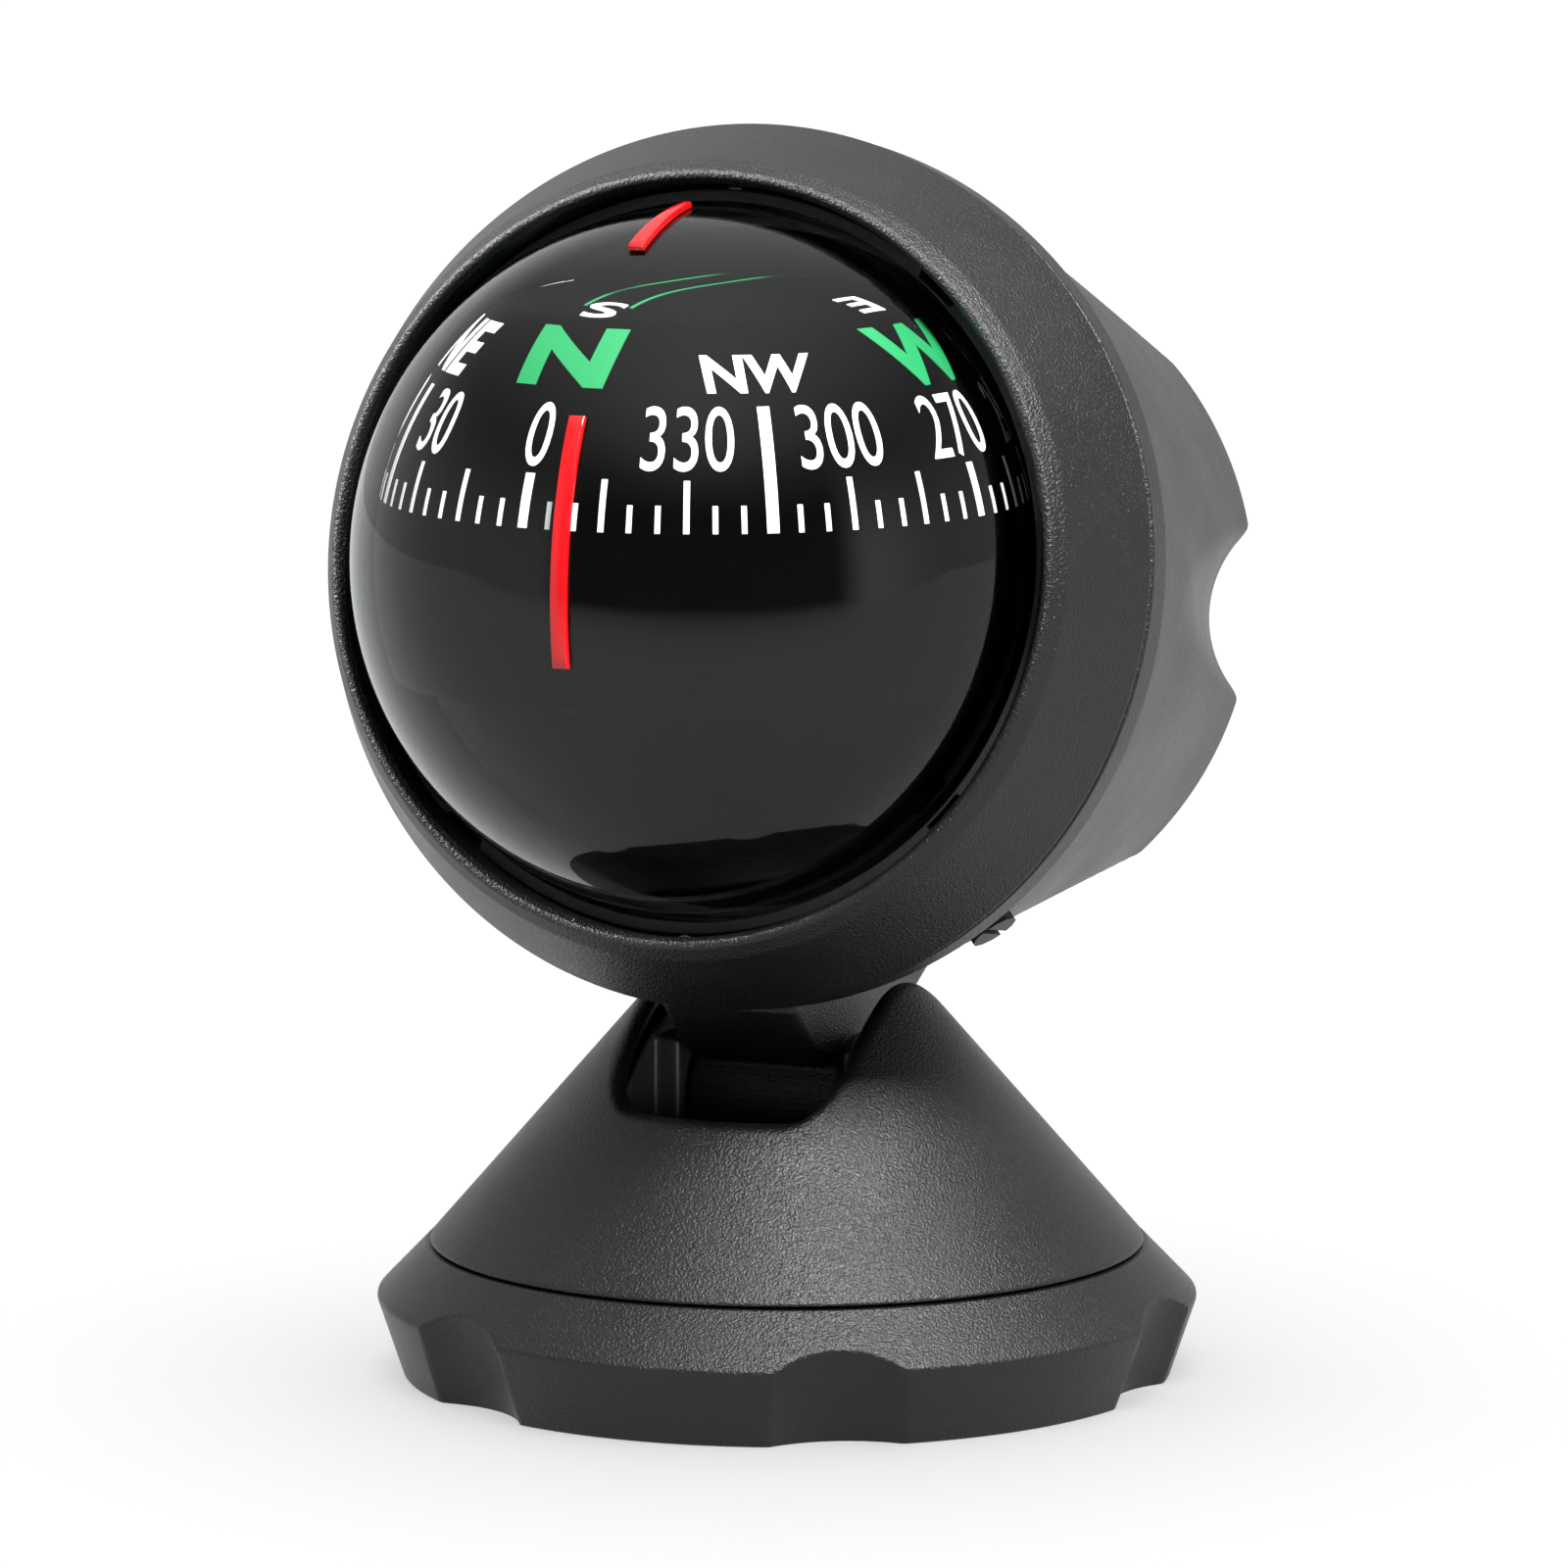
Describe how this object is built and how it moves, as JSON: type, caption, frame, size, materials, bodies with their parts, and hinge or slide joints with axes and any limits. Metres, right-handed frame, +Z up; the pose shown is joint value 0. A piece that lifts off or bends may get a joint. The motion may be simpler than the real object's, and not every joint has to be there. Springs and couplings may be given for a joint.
{
  "type": "dashboard ball compass",
  "caption": "Dashboard ball compass: clear dome over a floating dial, in a ribbed round housing that tilts on a swivelling cone stand with an adhesive base.",
  "frame": {"origin": "centre of the flat underside of the base, where the adhesive pad meets the dashboard", "axes": "+Z up along the swivel axis, -Y the way the dial faces, +X across the hinge"},
  "size_m": [0.0532, 0.0624, 0.0766],
  "materials": {
    "case_black": "fine-grained moulded texture, satin",
    "inner_black": "smooth matte",
    "card_black": "smooth satin with printed white and green scale",
    "lubber_red": "glossy",
    "foam": "closed-cell adhesive foam",
    "rubber": "matte",
    "nylon": "satin",
    "steel": "zinc plated",
    "brass": "turned",
    "black_brass": "blackened",
    "black_steel": "blackened",
    "magnet": "black epoxy coated",
    "jewel": "polished",
    "dome_clear": "clear polished acrylic"
  },
  "bodies": {
    "base": {"adhesive_pad": "foam", "base_ring": "case_black", "glide_ring": "nylon", "swivel_washer": "steel"},
    "pedestal": {"pedestal_cone": "case_black", "hinge_yoke": "inner_black", "swivel_screw": "steel", "yoke_screw_left": "steel", "yoke_screw_right": "steel", "hinge_screw": "steel", "hinge_nut": "steel"},
    "head": {"neck_bracket": "case_black", "friction_washer_left": "nylon", "friction_washer_right": "nylon", "neck_screw_front": "steel", "neck_screw_rear": "steel", "front_bezel": "case_black", "rear_housing": "case_black", "retaining_ring": "inner_black", "dome_lens": "dome_clear", "capsule_seal": "rubber", "rear_bowl": "card_black", "filler_plug": "brass", "expansion_diaphragm": "rubber", "diaphragm_cover": "inner_black", "pivot_arm": "card_black", "pivot_needle": "black_steel", "lubber_line_front": "lubber_red", "lubber_line_top": "lubber_red", "capsule_screw_1": "steel", "capsule_screw_2": "steel", "capsule_screw_3": "steel", "capsule_screw_4": "steel"},
    "compensator_right": {"compensator_screw_right": "inner_black", "compensator_magnet_right": "magnet"},
    "compensator_left": {"compensator_screw_left": "inner_black", "compensator_magnet_left": "magnet"},
    "jewel": {"pivot_jewel": "jewel"},
    "bush": {"jewel_bush": "brass"},
    "card": {"compass_card": "card_black", "card_magnet_left": "magnet", "card_magnet_right": "magnet", "balance_weight": "black_brass"}
  },
  "joints": [
    {"name": "base_swivel", "type": "hinge", "parent": "base", "child": "pedestal", "pos_m": [0, 0, 0.006], "axis": [0, 0, 1], "continuous": true},
    {"name": "head_tilt", "type": "hinge", "parent": "pedestal", "child": "head", "pos_m": [0, 0, 0.017], "axis": [1, 0, 0], "range_deg": [-20, 25]},
    {"name": "compensator_right_turn", "type": "hinge", "parent": "head", "child": "compensator_right", "pos_m": [0.01539, -0.00653, 0.03013], "axis": [0.6157, -0.136, -0.7762], "continuous": true},
    {"name": "compensator_left_turn", "type": "hinge", "parent": "head", "child": "compensator_left", "pos_m": [-0.01539, -0.00653, 0.03013], "axis": [-0.6157, -0.136, -0.7762], "continuous": true},
    {"name": "card_pitch", "type": "hinge", "parent": "head", "child": "jewel", "pos_m": [0, -0.01258, 0.05119], "axis": [1, 0, 0], "range_deg": [-26, 21]},
    {"name": "card_roll", "type": "hinge", "parent": "jewel", "child": "bush", "pos_m": [0, -0.01258, 0.05119], "axis": [0, 1, 0], "range_deg": [-15, 15]},
    {"name": "card_spin", "type": "hinge", "parent": "bush", "child": "card", "pos_m": [0, -0.01258, 0.05119], "axis": [0, 0, 1], "continuous": true}
  ],
  "couplings": [
    {"joint": "card_pitch", "follows": "head_tilt", "ratio": -1}
  ]
}
